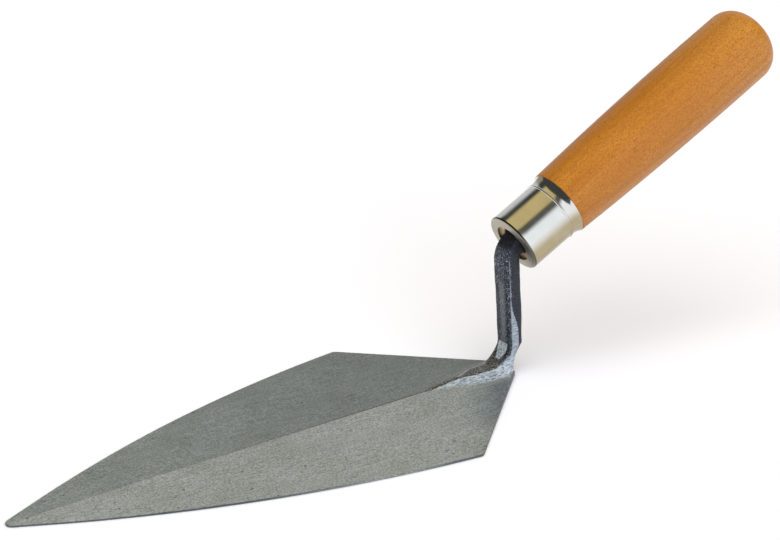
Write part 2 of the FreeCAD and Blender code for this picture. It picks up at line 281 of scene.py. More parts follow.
def neck_rings():
    """Sections up the neck's stem, round its bend into the handle's axis and along the tang."""
    rings = []
    stem_steps, bend_steps = 45, 18
    start = Vector((NECK_X, 0, ROOT_TOP))
    up = math.pi / 2 + NECK_LEAN
    stem = Vector((math.cos(up), 0, math.sin(up)))
    # where the neck's line meets the handle's axis
    gap = FACE - start
    reach = (gap.x * AXIS.z - gap.z * AXIS.x) / (stem.x * AXIS.z - stem.z * AXIS.x)
    corner = start + stem * reach
    turn = up - GRIP_ANGLE
    trim = NECK_BEND * math.tan(turn / 2)
    length = reach - trim
    for k in range(1, stem_steps + 1):
        slim = NECK_SLIM * (1 - smooth(k / 25))
        rings.append(neck_ring(start + stem * (length * k / stem_steps), up, slim=slim))
    centre = start + stem * length + Vector((math.sin(up), 0, -math.cos(up))) * NECK_BEND
    for k in range(1, bend_steps + 1):
        angle = up - turn * k / bend_steps
        out = Vector((-math.sin(angle), 0, math.cos(angle)))
        rings.append(neck_ring(centre + out * NECK_BEND, angle))
    bend_end = (corner + AXIS * trim - FACE).dot(AXIS)
    for along in np.linspace(bend_end + 0.5 * MM, TANG_START - 0.05 * MM, 9):
        rings.append(neck_ring(FACE + AXIS * along, GRIP_ANGLE))
    for along, side in ((TANG_START, TANG_START_SIDE), (TANG_END, TANG_END_SIDE)):
        rings.append(neck_ring(FACE + AXIS * along, GRIP_ANGLE, side / NECK_DEPTH, side / (2 * NECK_HALF)))
    return rings


def forging_rings():
    """All the closed sections, from the skirt on the blade to the end of the tang, slightly uneven."""
    skirt = [Vector((p.x, p.y, panel(p.x, p.y))) for p in root_ring(FOOT_TIP, SKIRT_Z)]
    rings = [skirt] + [root_ring(x, z) for x, z in root_levels()] + neck_rings()
    even_rings = 5
    return rings[:even_rings] + [roughened(ring) for ring in rings[even_rings:]]


def roughened(ring):
    """The section with its points moved in or out a little, except on the blade and inside the ferrule."""
    middle = sum(ring, Vector()) / len(ring)
    moved = []
    for p in ring:
        inside = rise((p - FACE).dot(AXIS), -1 * MM, 4 * MM)
        strength = rise(p.z, 5 * MM, 8 * MM) * (1 - inside) * UNEVEN
        wave = noise.noise(p * 95) + 0.45 * noise.noise(p * 260 + Vector((7, 1, 4)))
        moved.append(p + (p - middle).normalized() * wave * strength)
    return moved


class Skin:
    """The points and faces of a mesh, while it is made."""

    def __init__(self):
        self.points = []
        self.faces = []

    def add(self, items):
        """Adds the points and gives their numbers."""
        first = len(self.points)
        self.points.extend(items)
        return list(range(first, len(self.points)))

    def bridge(self, a, b):
        """Joins two closed loops that have the same number of points."""
        count = len(a)
        self.faces.extend((a[k], a[(k + 1) % count], b[(k + 1) % count], b[k]) for k in range(count))


def loop_ties(first, count):
    """The sides of a closed loop of points, numbered from the first."""
    return [(first + k, first + (k + 1) % count) for k in range(count)]


def top_spread(skirt):
    """Points over the blade's top, kept off its edge and its ridge and closer together round the foot."""
    spread = []
    for x in np.linspace(-TOE + 3 * MM, HEEL_END - 1.5 * MM, 120):
        reach = side_half(x) - 1.3 * MM
        rows = max(2, int(reach / (2.2 * MM)))
        for row in range(-rows, rows + 1):
            y = reach * row / rows
            near_foot = FOOT_TIP - 1.2 * MM < x and abs(y) < skirt_half(x) + 1.1 * MM
            if row and not near_foot:
                spread.append((x, y))
    for gap in (0.5, 1.1, 1.9):
        for x, y in inset(skirt, -gap * MM):
            if abs(y) < side_half(x) - 0.9 * MM and x < HEEL_END - 1 * MM and abs(y) > 0.3 * MM:
                spread.append((x, y))
    return spread


def triangulated(points, ties, border, hole=None):
    """Places, triangles inside the border and outside the hole, and the points each place came from."""
    result = delaunay_2d_cdt([Vector(p) for p in points], ties, [], 0, 1e-9)
    places, triangles, origins = result[0], result[2], result[3]
    kept = []
    for triangle in triangles:
        middle = sum((Vector(places[i]) for i in triangle), Vector((0, 0))) / 3
        in_hole = hole is not None and inside_loop(np.array(hole), middle)
        if inside_loop(np.array(border), middle) and not in_hole and not sliver(places, triangle):
            kept.append(triangle)
    return places, kept, origins


def cover_top(skin, rim, skirt):
    """The blade's top, from its rim to the foot's skirt, and the numbers of its rim, skirt and ridge."""
    ridge = [(x, 0.0) for x in np.linspace(-TOE + 1.6 * MM, FOOT_TIP - 0.6 * MM, 110)]
    skirt_start, ridge_start = len(rim), len(rim) + len(skirt)
    ties = loop_ties(0, len(rim)) + loop_ties(skirt_start, len(skirt))
    ties += [(ridge_start + k, ridge_start + k + 1) for k in range(len(ridge) - 1)]
    flat = rim + skirt + ridge + top_spread(skirt)
    places, triangles, origins = triangulated(flat, ties, rim, skirt)
    numbers = {}
    for i in sorted({i for triangle in triangles for i in triangle}):
        x, y = places[i]
        numbers[i] = skin.add([Vector((x, y, panel(x, y)))])[0]
    skin.faces.extend(tuple(numbers[i] for i in triangle) for triangle in triangles)
    place_of = {source: i for i, sources in enumerate(origins) for source in sources}
    named = [numbers[place_of[k]] for k in range(ridge_start + len(ridge))]
    return named[:skirt_start], named[skirt_start:ridge_start], named[ridge_start:]


def cover_underside(skin, rim, sole):
    """The flat underside inside the sole, with a few points across it to keep its triangles short."""
    spread = []
    for x in np.linspace(-TOE + 6 * MM, HEEL_END - 4 * MM, 24):
        spread += [(x, side_half(x) * share) for share in (-0.6, -0.2, 0.2, 0.6)]
    places, triangles, origins = triangulated(rim + spread, loop_ties(0, len(rim)), rim)
    numbers = {i: sole[sources[0]] for i, sources in enumerate(origins) if sources[0] < len(sole)}
    for triangle in triangles:
        for i in triangle:
            if i not in numbers:
                numbers[i] = skin.add([Vector((*places[i], 0))])[0]
        skin.faces.append(tuple(numbers[i] for i in reversed(triangle)))


def forging_mesh():
    """One closed skin: the blade's top round the skirt, its edges and underside, and the neck's rings."""
    skin = Skin()
    edge = outline()
    rim = inset(edge, EDGE_BEVEL)
    rings = forging_rings()
    rim_ids, skirt_ids, ridge_ids = cover_top(skin, rim, [(p.x, p.y) for p in rings[0]])

    shoulder = skin.add([Vector((x, y, panel(x, y) - EDGE_BEVEL)) for x, y in edge])
    foot = skin.add([Vector((x, y, EDGE_BEVEL)) for x, y in edge])
    sole = skin.add([Vector((x, y, 0)) for x, y in rim])
    skin.bridge(shoulder, rim_ids)
    skin.bridge(foot, shoulder)
    skin.bridge(sole, foot)
    cover_underside(skin, rim, sole)

    ring_ids = [skirt_ids]
    for ring in rings[1:]:
        ring_ids.append(skin.add(ring))
        skin.bridge(ring_ids[-2], ring_ids[-1])
    skin.faces.append(tuple(ring_ids[-1]))
    return skin, ridge_ids, ring_ids, (rim_ids, shoulder, foot, sole)


def sliver(places, triangle):
    """Whether a triangle is only three points in line."""
    a, b, c = (Vector(places[i]) for i in triangle)
    return abs((b - a).cross(c - a)) < 1e-9


def inside_loop(loop, p):
    """Whether a point lies inside a closed loop of corners."""
    x, y = loop[:, 0], loop[:, 1]
    x2, y2 = np.roll(x, -1), np.roll(y, -1)
    crosses = (y > p.y) != (y2 > p.y)
    with np.errstate(divide="ignore", invalid="ignore"):
        at = (x2 - x) * (p.y - y) / (y2 - y) + x
    return bool(np.count_nonzero(crosses & (p.x < at)) % 2)


def make_object(name, points, faces):
    mesh = bpy.data.meshes.new(name)
    mesh.from_pydata([tuple(p) for p in points], [], faces)
    mesh.validate()
    mesh.shade_smooth()
    made = bpy.data.objects.new(name, mesh)
    bpy.context.scene.collection.objects.link(made)
    return made


def sharpen(mesh, chains):
    """Marks the edges along the chains of vertices as sharp."""
    wanted = set()
    for chain in chains:
        wanted.update(frozenset(pair) for pair in zip(chain, chain[1:]))
    for item in mesh.edges:
        if frozenset(item.vertices) in wanted:
            item.use_edge_sharp = True


# ---------------------------------------------------------------- how each part of the forging was finished, and where light and shade are painted on it
FOOT_END_Z = 9.0 * MM  # the foot's finish gives way to the neck's at this height
BAND_SLIMS_Z = 19.0 * MM
BAND_END_Z = 55.0 * MM
BARE_LOW_Z = 6.6 * MM
BARE_HIGH_Z = 14.2 * MM
STRIPE_FADES_Z = 36.0 * MM
HEEL_SHADE_STRIP = 20.0 * MM


def below_front(p):
    """How far a point lies behind or below the front face of the neck, the lower bend and the foot."""
    if p.z < ROOT_TOP:
        if p.x > BEND_X:
            return math.hypot(BEND_X - p.x, ROOT_TOP - p.z) - BEND_R
        return foot_top(p.x) - p.z
    up = math.pi / 2 + NECK_LEAN
    back = Vector((math.sin(up), 0, -math.cos(up)))
    return (p - Vector((NECK_X, 0, ROOT_TOP))).dot(back) + NECK_DEPTH / 2


def ground_band_and_highlight(p):
    """The bright ground band, partly painted highlight: ground metal on the foot's near side, then a strip up
    the neck that narrows into a painted edge highlight, and a painted highlight line along the far edge of
    the foot's top.
    """
    on_neck = p.z > FOOT_END_Z
    climb = rise(p.z, BAND_SLIMS_Z, 14 * MM)
    deep = below_front(p)
    start = between(0.2, 1.15, rise(p.z, FOOT_TOP, 8 * MM)) * MM
    stop = between(5.0, 2.3, climb) * MM if on_neck else 40 * MM
    side = rise(deep, start, 0.35 * MM) * fall(deep, stop, 0.8 * MM)
    if p.y <= 0:
        return side * between(1, 0.58, climb) * (1 - rise(p.z, BAND_END_Z - 5 * MM, 5 * MM))
    if on_neck:
        return side * 0.5
    # painted highlight line along the far edge of the foot's top
    brink = rise(p.y, top_half(p.x) - 0.7 * MM, 0.4 * MM) * fall(deep, 0.4 * MM, 0.2 * MM)
    return brink * rise(p.x, 24 * MM, 4 * MM)


def bare_glint_patch(p):
    """Bare metal with a painted glint on the inside of the lower bend, narrower at the bottom."""
    half = 1.6 * MM * (1 + rise(p.z, 6.5 * MM, 5 * MM))
    tall = rise(p.z, BARE_LOW_Z, 1.2 * MM) * fall(p.z, BARE_HIGH_Z, 0.5 * MM)
    return tall * fall(abs(p.y), half, 0.5 * MM) * fall(below_front(p), 0.5 * MM, 0.3 * MM)


def front_stripe(p):
    """The worn grey stripe up the middle of the neck's front."""
    fade = 1 - rise(p.z, STRIPE_FADES_Z, 10 * MM)
    middle = fall(abs(p.y + 0.6 * MM), 2.3 * MM, 1.4 * MM)
    return fade * middle * fall(below_front(p), 1.2 * MM, 0.6 * MM)


def off_blade(p):
    """How far a point has left the blade's finish: at once on the foot's top, gradually down its sides."""
    if p.z > FOOT_END_Z:
        return 1.0
    top = fall(below_front(p), 0.9 * MM, 0.4 * MM) * rise(p.z, SKIRT_Z + 0.1 * MM, 0.2 * MM)
    side = rise(p.z, SKIRT_Z + 0.02 * MM, 0.5 * MM) if p.y < 0 else 0.0
    heel = rise(p.x, 44 * MM, 3 * MM) * rise(p.z, 4.5 * MM, 3 * MM)
    return max(top, side, heel)


def neck_side_shade(p):
    """Painted shade on the sides and back of the neck, where the scale is coloured darkest."""
    return rise(below_front(p), 1.5 * MM, 1.2 * MM) * rise(p.z, 8 * MM, 3 * MM)


def heel_shade_zone(p):
    """Painted shade: the darker strip of each top plane along the heel's edge."""
    away = (HALF * (1 - p.x / HEEL_APEX) - abs(p.y)) * HEEL_APEX / math.hypot(HALF, HEEL_APEX)
    return rise(p.x, 6 * MM, 18 * MM) * fall(away, HEEL_SHADE_STRIP, 15 * MM)


def store(mesh, name, values):
    layer = mesh.attributes.new(name, "FLOAT", "POINT")
    layer.data.foreach_set("value", values)


def store_finishes(mesh, ring_ids, edge_loops):
    """One value for each vertex: what the surface there is and where light or shade is painted, for the
    material to use.
    """
    neck = {i for ring in ring_ids[1:] for i in ring}
    rim = {i for loop in edge_loops[1:3] for i in loop}
    masks = {
        "neck": off_blade,
        # ground: ground metal, and painted highlights up the neck and along the foot's far edge
        "ground": ground_band_and_highlight,
        # bare: bare metal with a painted glint
        "bare": bare_glint_patch,
        "stripe": front_stripe,
        # dark: painted shade on the neck's sides and back
        "dark": neck_side_shade,
    }
    for name, mask in masks.items():
        store(mesh, name, [mask(v.co) if v.index in neck else 0.0 for v in mesh.vertices])
    # heel: where painted shade lies along the heel's edge
    store(mesh, "heel", [0.0 if v.index in neck else heel_shade_zone(v.co) for v in mesh.vertices])
    # rim: the edge faces, where dark shade is painted
    store(mesh, "rim", [1.0 if v.index in rim else 0.0 for v in mesh.vertices])


skin, ridge_ids, ring_ids, edge_loops = forging_mesh()
forging = make_object("trowel_forging", skin.points, skin.faces)
sharpen(forging.data, [ridge_ids, *[loop + loop[:1] for loop in edge_loops]])
store_finishes(forging.data, ring_ids, edge_loops)

# ---------------------------------------------------------------- ferrule and handle, turned about the axis
SEGMENTS = 128
FERRULE_R = 13.0 * MM
FERRULE_WALL = 1.2 * MM
FERRULE_HOLE = 8.5 * MM
FERRULE_EDGE = 1.0 * MM
FERRULE_L = 26.0 * MM
BEAD_S = 21.0 * MM
FLARE_S = 21.8 * MM
FLARE_R = 8.57 * MM
RIM_R = 14.1 * MM
SPIGOT_S = 1.5 * MM
MOUTH_R = 6.3 * MM
WOOD_R = 14.3 * MM
BARREL_END = 118.0 * MM
BARREL_R = 16.44 * MM
CORNER_R = 10.0 * MM  # rounding behind the barrel
DOME_R = 24.0 * MM
HANDLE_L = 143.9 * MM
BORE_GAP = 0.2 * MM  # how much wider the bore is than the tang, and half of how far it runs past it
SHARP_TURN = math.radians(38)


def arc_points(start, stop, bulge, count):
    """Points of a shallow arc from start to stop, bulging sideways by the bulge, without its first point."""
    a, b = Vector(start), Vector(stop)
    normal = Vector((a.y - b.y, b.x - a.x)).normalized()
    points = []
    for k in range(1, count + 1):
        share = k / count
        points.append(tuple(a.lerp(b, share) + normal * bulge * 4 * share * (1 - share)))
    return points


def round_points(centre, radius, first, last, count):
    """Points of a circular arc between two angles in degrees, without its first point."""
    turns = [math.radians(first + (last - first) * k / count) for k in range(1, count + 1)]
    return [(centre[0] + radius * math.cos(a), centre[1] + radius * math.sin(a)) for a in turns]


def ferrule_profile():
    """Along the axis and out from it, once round the sleeve's wall."""
    inner = FERRULE_R - FERRULE_WALL
    clear = 0.02 * MM
    bead_low, bead_high = BEAD_S - 0.5 * MM, BEAD_S + 0.5 * MM
    outside = [(0.12 * MM, FERRULE_HOLE), (0, FERRULE_HOLE + 0.12 * MM), (0, FERRULE_R - FERRULE_EDGE)]
    outside += round_points((FERRULE_EDGE, FERRULE_R - FERRULE_EDGE), FERRULE_EDGE, 180, 90, 8)
    outside += [(along, FERRULE_R) for along in np.linspace(3 * MM, bead_low, 12)]
    outside += arc_points((bead_low, FERRULE_R), (bead_high, FERRULE_R), 0.35 * MM, 8)
    outside += [(FLARE_S, FERRULE_R)]
    sweep = math.degrees(math.asin((FERRULE_L - FLARE_S) / FLARE_R))
    outside += round_points((FLARE_S, FERRULE_R + FLARE_R), FLARE_R, -90, sweep - 90, 9)
    inside = [(FERRULE_L, RIM_R - FERRULE_WALL + 0.03 * MM), (FLARE_S, inner + clear)]
    inside += [(SPIGOT_S - clear, inner + clear), (SPIGOT_S - clear, FERRULE_HOLE)]
    return outside + inside


def handle_profile():
    """From the mouth round the spigot, along the swell and over the rounded end."""
    inner = FERRULE_R - FERRULE_WALL
    outer = [(TANG_START, MOUTH_R), (SPIGOT_S + 0.3 * MM, MOUTH_R), (SPIGOT_S, MOUTH_R + 0.3 * MM)]
    outer += [(SPIGOT_S, inner), (FLARE_S, inner), (FERRULE_L, RIM_R - FERRULE_WALL)]
    outer += [(FERRULE_L, WOOD_R - 0.5 * MM)]
    outer += arc_points(outer[-1], (FERRULE_L + 0.5 * MM, WOOD_R), 0.14 * MM, 4)
    length, swell = BARREL_END - outer[-1][0], BARREL_R - WOOD_R
    for share in np.linspace(0.04, 1, 30):
        outer.append((BARREL_END - length * (1 - share), BARREL_R - swell * (1 - share) ** 2))
    gap, height = DOME_R - CORNER_R, BARREL_R - CORNER_R
    run = math.sqrt(gap ** 2 - height ** 2)
    tilt = math.degrees(math.atan2(height, run))
    centre = HANDLE_L - DOME_R
    outer += [(along, BARREL_R) for along in np.linspace(BARREL_END, centre + run, 6)[1:]]
    outer += round_points((centre + run, height), CORNER_R, 90, tilt, 18)
    outer += round_points((centre, 0), DOME_R, tilt, 1.2, 14)
    return outer


def ring_at(along, radius, square=False):
    """A ring of points about the axis, round or square."""
    side = Vector((0, 1, 0))
    lift = side.cross(AXIS)
    ring = []
    for k in range(SEGMENTS):
        angle = 2 * math.pi * k / SEGMENTS
        reach = radius / max(abs(math.cos(angle)), abs(math.sin(angle))) if square else radius
        ring.append(FACE + AXIS * along + (side * math.cos(angle) + lift * math.sin(angle)) * reach)
    return ring


def turned(name, rings, closed, tips=()):
    """A skin through the rings: joined end to start, or capped at the two tips."""
    points = [p for ring in rings for p in ring]
    faces = []
    for row in range(len(rings) if closed else len(rings) - 1):
        a, b = row * SEGMENTS, (row + 1) % len(rings) * SEGMENTS
        for k in range(SEGMENTS):
            following = (k + 1) % SEGMENTS
            faces.append((a + k, a + following, b + following, b + k))
    if tips:
        first, last = len(points), len(points) + 1
        points += tips
        end = (len(rings) - 1) * SEGMENTS
        for k in range(SEGMENTS):
            following = (k + 1) % SEGMENTS
            faces.append((first, following, k))
            faces.append((last, end + k, end + following))
    return make_object(name, points, faces)


def turned_handle():
    """The handle's skin, which starts at the end of its square bore."""
    bore_end = TANG_END + 2 * BORE_GAP
    rings = [ring_at(bore_end, TANG_END_SIDE / 2 + BORE_GAP / 2, square=True)]
    rings += [ring_at(TANG_START, TANG_START_SIDE / 2 + BORE_GAP / 2, square=True)]
    rings += [ring_at(along, radius) for along, radius in handle_profile()]
    tips = [FACE + AXIS * bore_end, FACE + AXIS * (HANDLE_L - 0.01 * MM)]
    return turned("handle_grip", rings, False, tips)


ferrule = turned("ferrule_sleeve", [ring_at(along, radius) for along, radius in ferrule_profile()], True)
handle = turned_handle()
for piece in (ferrule, handle):
    piece.data.set_sharp_from_angle(angle=SHARP_TURN)

for piece, node, slot in (
    (forging, "blade_forging", "forged_steel"),
    (ferrule, "ferrule", "plated_steel"),
    (handle, "handle", "beech"),
):
    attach(piece, "root")
    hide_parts(node)


# ---------------------------------------------------------------- colours, in linear light
# painted light and shade: the far top plane is coloured darker and the near one lighter, each changing from
# tip to heel
FAR_TIP_SHADED = (0.38, 0.42, 0.41)
FAR_HEEL_SHADED = (0.255, 0.285, 0.285)
NEAR_TIP_LIT = (0.53, 0.56, 0.55)
NEAR_MIDDLE_LIT = (0.495, 0.53, 0.52)
# painted shade along the heel's edge of the near plane
NEAR_HEEL_SHADE = (0.27, 0.32, 0.38)
STREAK_DARK = (0.50, 0.51, 0.50)
# dark pits in the steel; also the painted dark reflection round the ferrule's front edge
PIT_AND_DARK_REFLECTION = (0.05, 0.05, 0.045)
# painted dark shade on the blade's edge faces
EDGE_FACE_SHADE = (0.05, 0.055, 0.075)
# painted shade along the ridge's crease
CREASE_SHADE = (0.20, 0.18, 0.15)
CLOUD_WARM = (0.62, 0.60, 0.54)
SCALE_DARK = (0.02, 0.023, 0.032)
SCALE_BLUE = (0.075, 0.09, 0.12)
SCALE_LIGHT = (0.60, 0.66, 0.74)
# painted shade on the neck's sides and back
SCALE_NAVY_SHADE = (0.022, 0.025, 0.036)
FOOT_BROWN = (0.16, 0.15, 0.13)
FOOT_DARK = (0.045, 0.04, 0.035)
STRIPE_GREY = (0.36, 0.39, 0.41)
# bright ground metal, also the painted highlight up the neck and along the foot's far edge
GROUND_BRIGHT_AND_HIGHLIGHT = (0.54, 0.61, 0.70)
GROUND_DULL = (0.14, 0.17, 0.21)
# bare metal with a painted glint
BARE_AND_GLINT = (0.62, 0.66, 0.70)
PLATE = (0.80, 0.80, 0.79)
# painted khaki reflection on the ferrule's lower part
PLATE_KHAKI_REFLECTION = (0.42, 0.36, 0.22)
PLATE_SMEAR = (0.62, 0.61, 0.55)
PLATE_FRONT = (0.46, 0.43, 0.35)
WOOD_LIGHT = (0.515, 0.21, 0.017)
WOOD_MIDDLE = (0.43, 0.157, 0.010)
WOOD_STREAK = (0.315, 0.095, 0.006)
WOOD_FLECK = (0.14, 0.04, 0.006)
# end grain, painted lighter to make up for the shade in the ferrule's hole
WOOD_END_LIT = (0.95, 0.66, 0.40)
WOOD_PALE = (0.60, 0.29, 0.05)


# ---------------------------------------------------------------- materials, in which f is the one being made
class Nodes:
    """A node tree, with short ways to add to it."""

    def __init__(self, tree):
        self.tree = tree

    def node(self, kind, **settings):
        made = self.tree.nodes.new(kind)
        for key, value in settings.items():
            setattr(made, key, value)
        return made

    def put(self, socket, value):
        """Links the value to the socket, or sets it there when it's a constant."""
        if isinstance(value, bpy.types.NodeSocket):
            self.tree.links.new(value, socket)
        else:
            socket.default_value = value

    def math(self, operation, a, b=0.0):
        made = self.node("ShaderNodeMath", operation=operation)
        self.put(made.inputs[0], a)
        self.put(made.inputs[1], b)
        return made.outputs[0]

    def span(self, value, low, high, to_low=0.0, to_high=1.0):
        """Smooth step of a value from one range to another."""
        made = self.node("ShaderNodeMapRange", interpolation_type="SMOOTHSTEP")
        self.put(made.inputs["Value"], value)
        for key, number in (("From Min", low), ("From Max", high), ("To Min", to_low), ("To Max", to_high)):
            made.inputs[key].default_value = number
        return made.outputs["Result"]

    def blend(self, factor, a, b, kind="MIX"):
        made = self.node("ShaderNodeMix", data_type="RGBA", blend_type=kind)
        self.put(made.inputs[0], factor)
        for socket, value in ((made.inputs[6], a), (made.inputs[7], b)):
            self.put(socket, value if isinstance(value, bpy.types.NodeSocket) else (*value, 1))
        return made.outputs[2]

    def bands(self, value, stops):
        """A colour for each value, from stops (value, colour), the first of them at 0 and the last at 1."""
        made = self.node("ShaderNodeValToRGB")
        self.put(made.inputs[0], value)
        elements = made.color_ramp.elements
        for place, _ in stops[1:-1]:
            elements.new(place)
        for element, (_, colour) in zip(elements, stops):
            element.color = (*colour, 1)
        return made.outputs["Color"]

    def level(self, factor, a, b):
        """A number between a and b."""
        made = self.node("ShaderNodeMix", data_type="FLOAT")
        self.put(made.inputs[0], factor)
        self.put(made.inputs[2], a)
        self.put(made.inputs[3], b)
        return made.outputs[0]

    def axes(self, vector):
        """The vector's three parts."""
        made = self.node("ShaderNodeSeparateXYZ")
        self.put(made.inputs[0], vector)
        return made.outputs


class Finish(Nodes):
    """A material's nodes, from the object's own place to its shader."""

    def __init__(self, name):
        self.material = bpy.data.materials.new(name)
        self.material.use_nodes = True
        super().__init__(self.material.node_tree)
        self.shader = self.tree.nodes["Principled BSDF"]
        self.place = self.node("ShaderNodeTexCoord").outputs["Object"]

    def stretch(self, vector, scale, turn=(0, 0, 0), shift=(0, 0, 0)):
        """The vector scaled, turned and shifted, for a texture to use."""
        mapped = self.node("ShaderNodeMapping")
        self.put(mapped.inputs["Vector"], vector)
        mapped.inputs["Location"].default_value = shift
        mapped.inputs["Rotation"].default_value = turn
        mapped.inputs["Scale"].default_value = scale
        return mapped.outputs["Vector"]

    def noise(self, vector, scale, detail=3.0, rough=0.55):
        made = self.node("ShaderNodeTexNoise")
        self.put(made.inputs["Vector"], vector)
        made.inputs["Scale"].default_value = scale
        made.inputs["Detail"].default_value = detail
        made.inputs["Roughness"].default_value = rough
        return made.outputs["Fac"]

    def grain(self, vector, scale, detail, rough, turn=(0, 0, 0)):
        """Noise with a scale of its own along each axis."""
        return self.noise(self.stretch(vector, scale, turn), 1.0, detail, rough)

    def mask(self, name, rough=0.0, fine=None):
        """A stored value, its border roughened by noise."""
        value = self.node("ShaderNodeAttribute", attribute_name=name).outputs["Fac"]
        if not rough:
            return value
        shifted = self.math("ADD", value, self.math("MULTIPLY", self.math("SUBTRACT", fine, 0.5), rough))
        return self.span(shifted, 0.3, 0.7)

    def bump(self, height, depth, before=None):
        made = self.node("ShaderNodeBump")
        made.inputs["Strength"].default_value = 1.0
        made.inputs["Distance"].default_value = depth
        self.put(made.inputs["Height"], height)
        if before is not None:
            self.put(made.inputs["Normal"], before)
        return made.outputs["Normal"]

    def use(self, colour, metallic, roughness, normal):
        look = {"Base Color": colour, "Metallic": metallic, "Roughness": roughness, "Normal": normal}
        for key, value in look.items():
            self.put(self.shader.inputs[key], value)
        return self.material


def forged_steel():
    """Satin ground blade with painted shade on its far plane, heel strip, ridge crease and edge faces and
    painted light on its near plane, bright ground foot and a neck under dark forge scale, with a painted
    highlight, a painted glint and painted shade on its sides.
    """
    f = Finish("forged_steel")
    along, across, height = f.axes(f.place)
    streaks = f.grain(f.place, (140, 1300, 400), 4.0, 0.6)
    grain = f.grain(f.place, (1100, 1900, 1900), 3.0, 0.75)
    heel_marks = f.grain(f.place, (1900, 320, 600), 3.0, 0.6, (0, 0, 0.75))
    cloud = f.noise(f.place, 38, 3.0, 0.5)
    fine = f.noise(f.place, 900, 4.0, 0.7)
    coarse = f.noise(f.place, 260, 4.0, 0.65)

    # painted light and shade: the far top plane coloured darker, the near one lighter, each changing from tip
    # to heel
    far = f.blend(f.span(along, -0.17, 0.04), FAR_TIP_SHADED, FAR_HEEL_SHADED)
    near = f.blend(f.span(along, -0.165, -0.05), NEAR_TIP_LIT, NEAR_MIDDLE_LIT)
    # painted shade along the heel's edge, with grinding marks in it
    heel = f.mask("heel")
    near = f.blend(f.math("MULTIPLY", heel, 0.6), near, NEAR_HEEL_SHADE)
    marks = f.math("MULTIPLY", heel, f.span(heel_marks, 0.5, 0.75, 0.0, 0.8))
    near = f.blend(marks, near, STREAK_DARK, "MULTIPLY")
    blade = f.blend(f.span(across, -0.0001, 0.0001), near, far)
    # painted shade along the ridge's crease, stronger towards the heel
    off_centre = f.math("ABSOLUTE", across)
    crease_shade = f.math("MULTIPLY", f.span(off_centre, 0.0004, 0.00015), f.span(along, -0.11, 0.0, 0.15, 1.0))
    blade = f.blend(crease_shade, blade, CREASE_SHADE, "MULTIPLY")
    blade = f.blend(f.span(streaks, 0.32, 0.68, 0.0, 0.3), blade, STREAK_DARK, "MULTIPLY")
    blade = f.blend(f.span(grain, 0.38, 0.62), blade, STREAK_DARK, "MULTIPLY")
    blade = f.blend(f.span(cloud, 0.35, 0.7, 0.0, 0.3), blade, CLOUD_WARM, "MULTIPLY")
    pits = f.span(f.noise(f.place, 520, 1.0, 0.4), 0.735, 0.77)
    blade = f.blend(f.math("MULTIPLY", pits, 0.75), blade, PIT_AND_DARK_REFLECTION)
    # painted dark shade on the blade's edge faces, fainter on part of the sides
    edge = f.math("MAXIMUM", f.span(along, -0.03, -0.10, 0.25, 0.9), f.span(along, -0.03, -0.012, 0.25, 0.8))
    blade = f.blend(f.math("MULTIPLY", f.mask("rim"), edge), blade, EDGE_FACE_SHADE)

    speckle = f.span(f.grain(f.place, (2100, 2100, 1300), 3.0, 0.7), 0.54, 0.68)
    scale = f.blend(f.span(coarse, 0.35, 0.65), SCALE_DARK, SCALE_BLUE)
    low = f.span(height, 0.006, 0.010)
    scale = f.blend(low, f.blend(f.span(fine, 0.35, 0.65), FOOT_BROWN, FOOT_DARK), scale)
    scale = f.blend(f.math("MULTIPLY", speckle, 0.85), scale, SCALE_LIGHT)
    # painted shade on the neck's sides and back
    scale = f.blend(f.math("MULTIPLY", f.mask("dark"), 0.85), scale, SCALE_NAVY_SHADE)
    stripe = f.math("MULTIPLY", f.mask("stripe"), f.span(fine, 0.3, 0.6, 0.15, 0.6))
    scale = f.blend(f.math("MULTIPLY", stripe, low), scale, STRIPE_GREY)
    # ground metal, with painted highlights where the band narrows up the neck and along the foot's far edge
    ground = f.mask("ground", 0.9, fine)
    scratch = f.grain(f.place, (420, 1500, 1900), 4.0, 0.65, (0, 0.15, 0))
    bright = f.blend(f.span(scratch, 0.35, 0.66), GROUND_BRIGHT_AND_HIGHLIGHT, GROUND_DULL)
    bright = f.blend(f.math("MULTIPLY", low, 0.35), bright, GROUND_DULL)
    bright = f.blend(f.span(fine, 0.56, 0.7, 0.0, 0.55), bright, GROUND_DULL)
    neck = f.blend(ground, scale, bright)
    # bare metal with a painted glint inside the lower bend
    bare = f.mask("bare", 0.6, fine)
    neck = f.blend(bare, neck, f.blend(f.span(fine, 0.42, 0.66), BARE_AND_GLINT, GROUND_DULL))

    on_neck = f.mask("neck")
    colour = f.blend(on_neck, blade, neck)
    # the ground band and bare patch, which also hold painted highlights and a painted glint
    worn = f.math("MAXIMUM", ground, bare)
    neck_rough = f.math("SUBTRACT", f.span(coarse, 0.3, 0.7, 0.42, 0.6), f.math("MULTIPLY", worn, 0.12))
    blade_rough = f.span(streaks, 0.3, 0.7, 0.34, 0.46)
    roughness = f.level(on_neck, blade_rough, neck_rough)
    relief = f.math("ADD", f.math("MULTIPLY", on_neck, coarse), f.math("MULTIPLY", streaks, 0.12))
    normal = f.bump(relief, 0.22 * MM)
    normal = f.bump(f.math("ADD", grain, streaks), 0.012 * MM, normal)
    dull = f.math("MAXIMUM", f.math("MULTIPLY", f.math("MULTIPLY", worn, on_neck), 0.75), 0.42)
    metallic = f.math("SUBTRACT", 1.0, dull)
    return f.use(colour, metallic, roughness, normal)


def along_axis(f):
    """The place measured from the ferrule's face, with X along the handle's axis."""
    from_face = f.node("ShaderNodeVectorMath", operation="SUBTRACT")
    f.put(from_face.inputs[0], f.place)
    from_face.inputs[1].default_value = FACE
    return f.stretch(from_face.outputs[0], (1, 1, 1), (0, GRIP_ANGLE, 0))


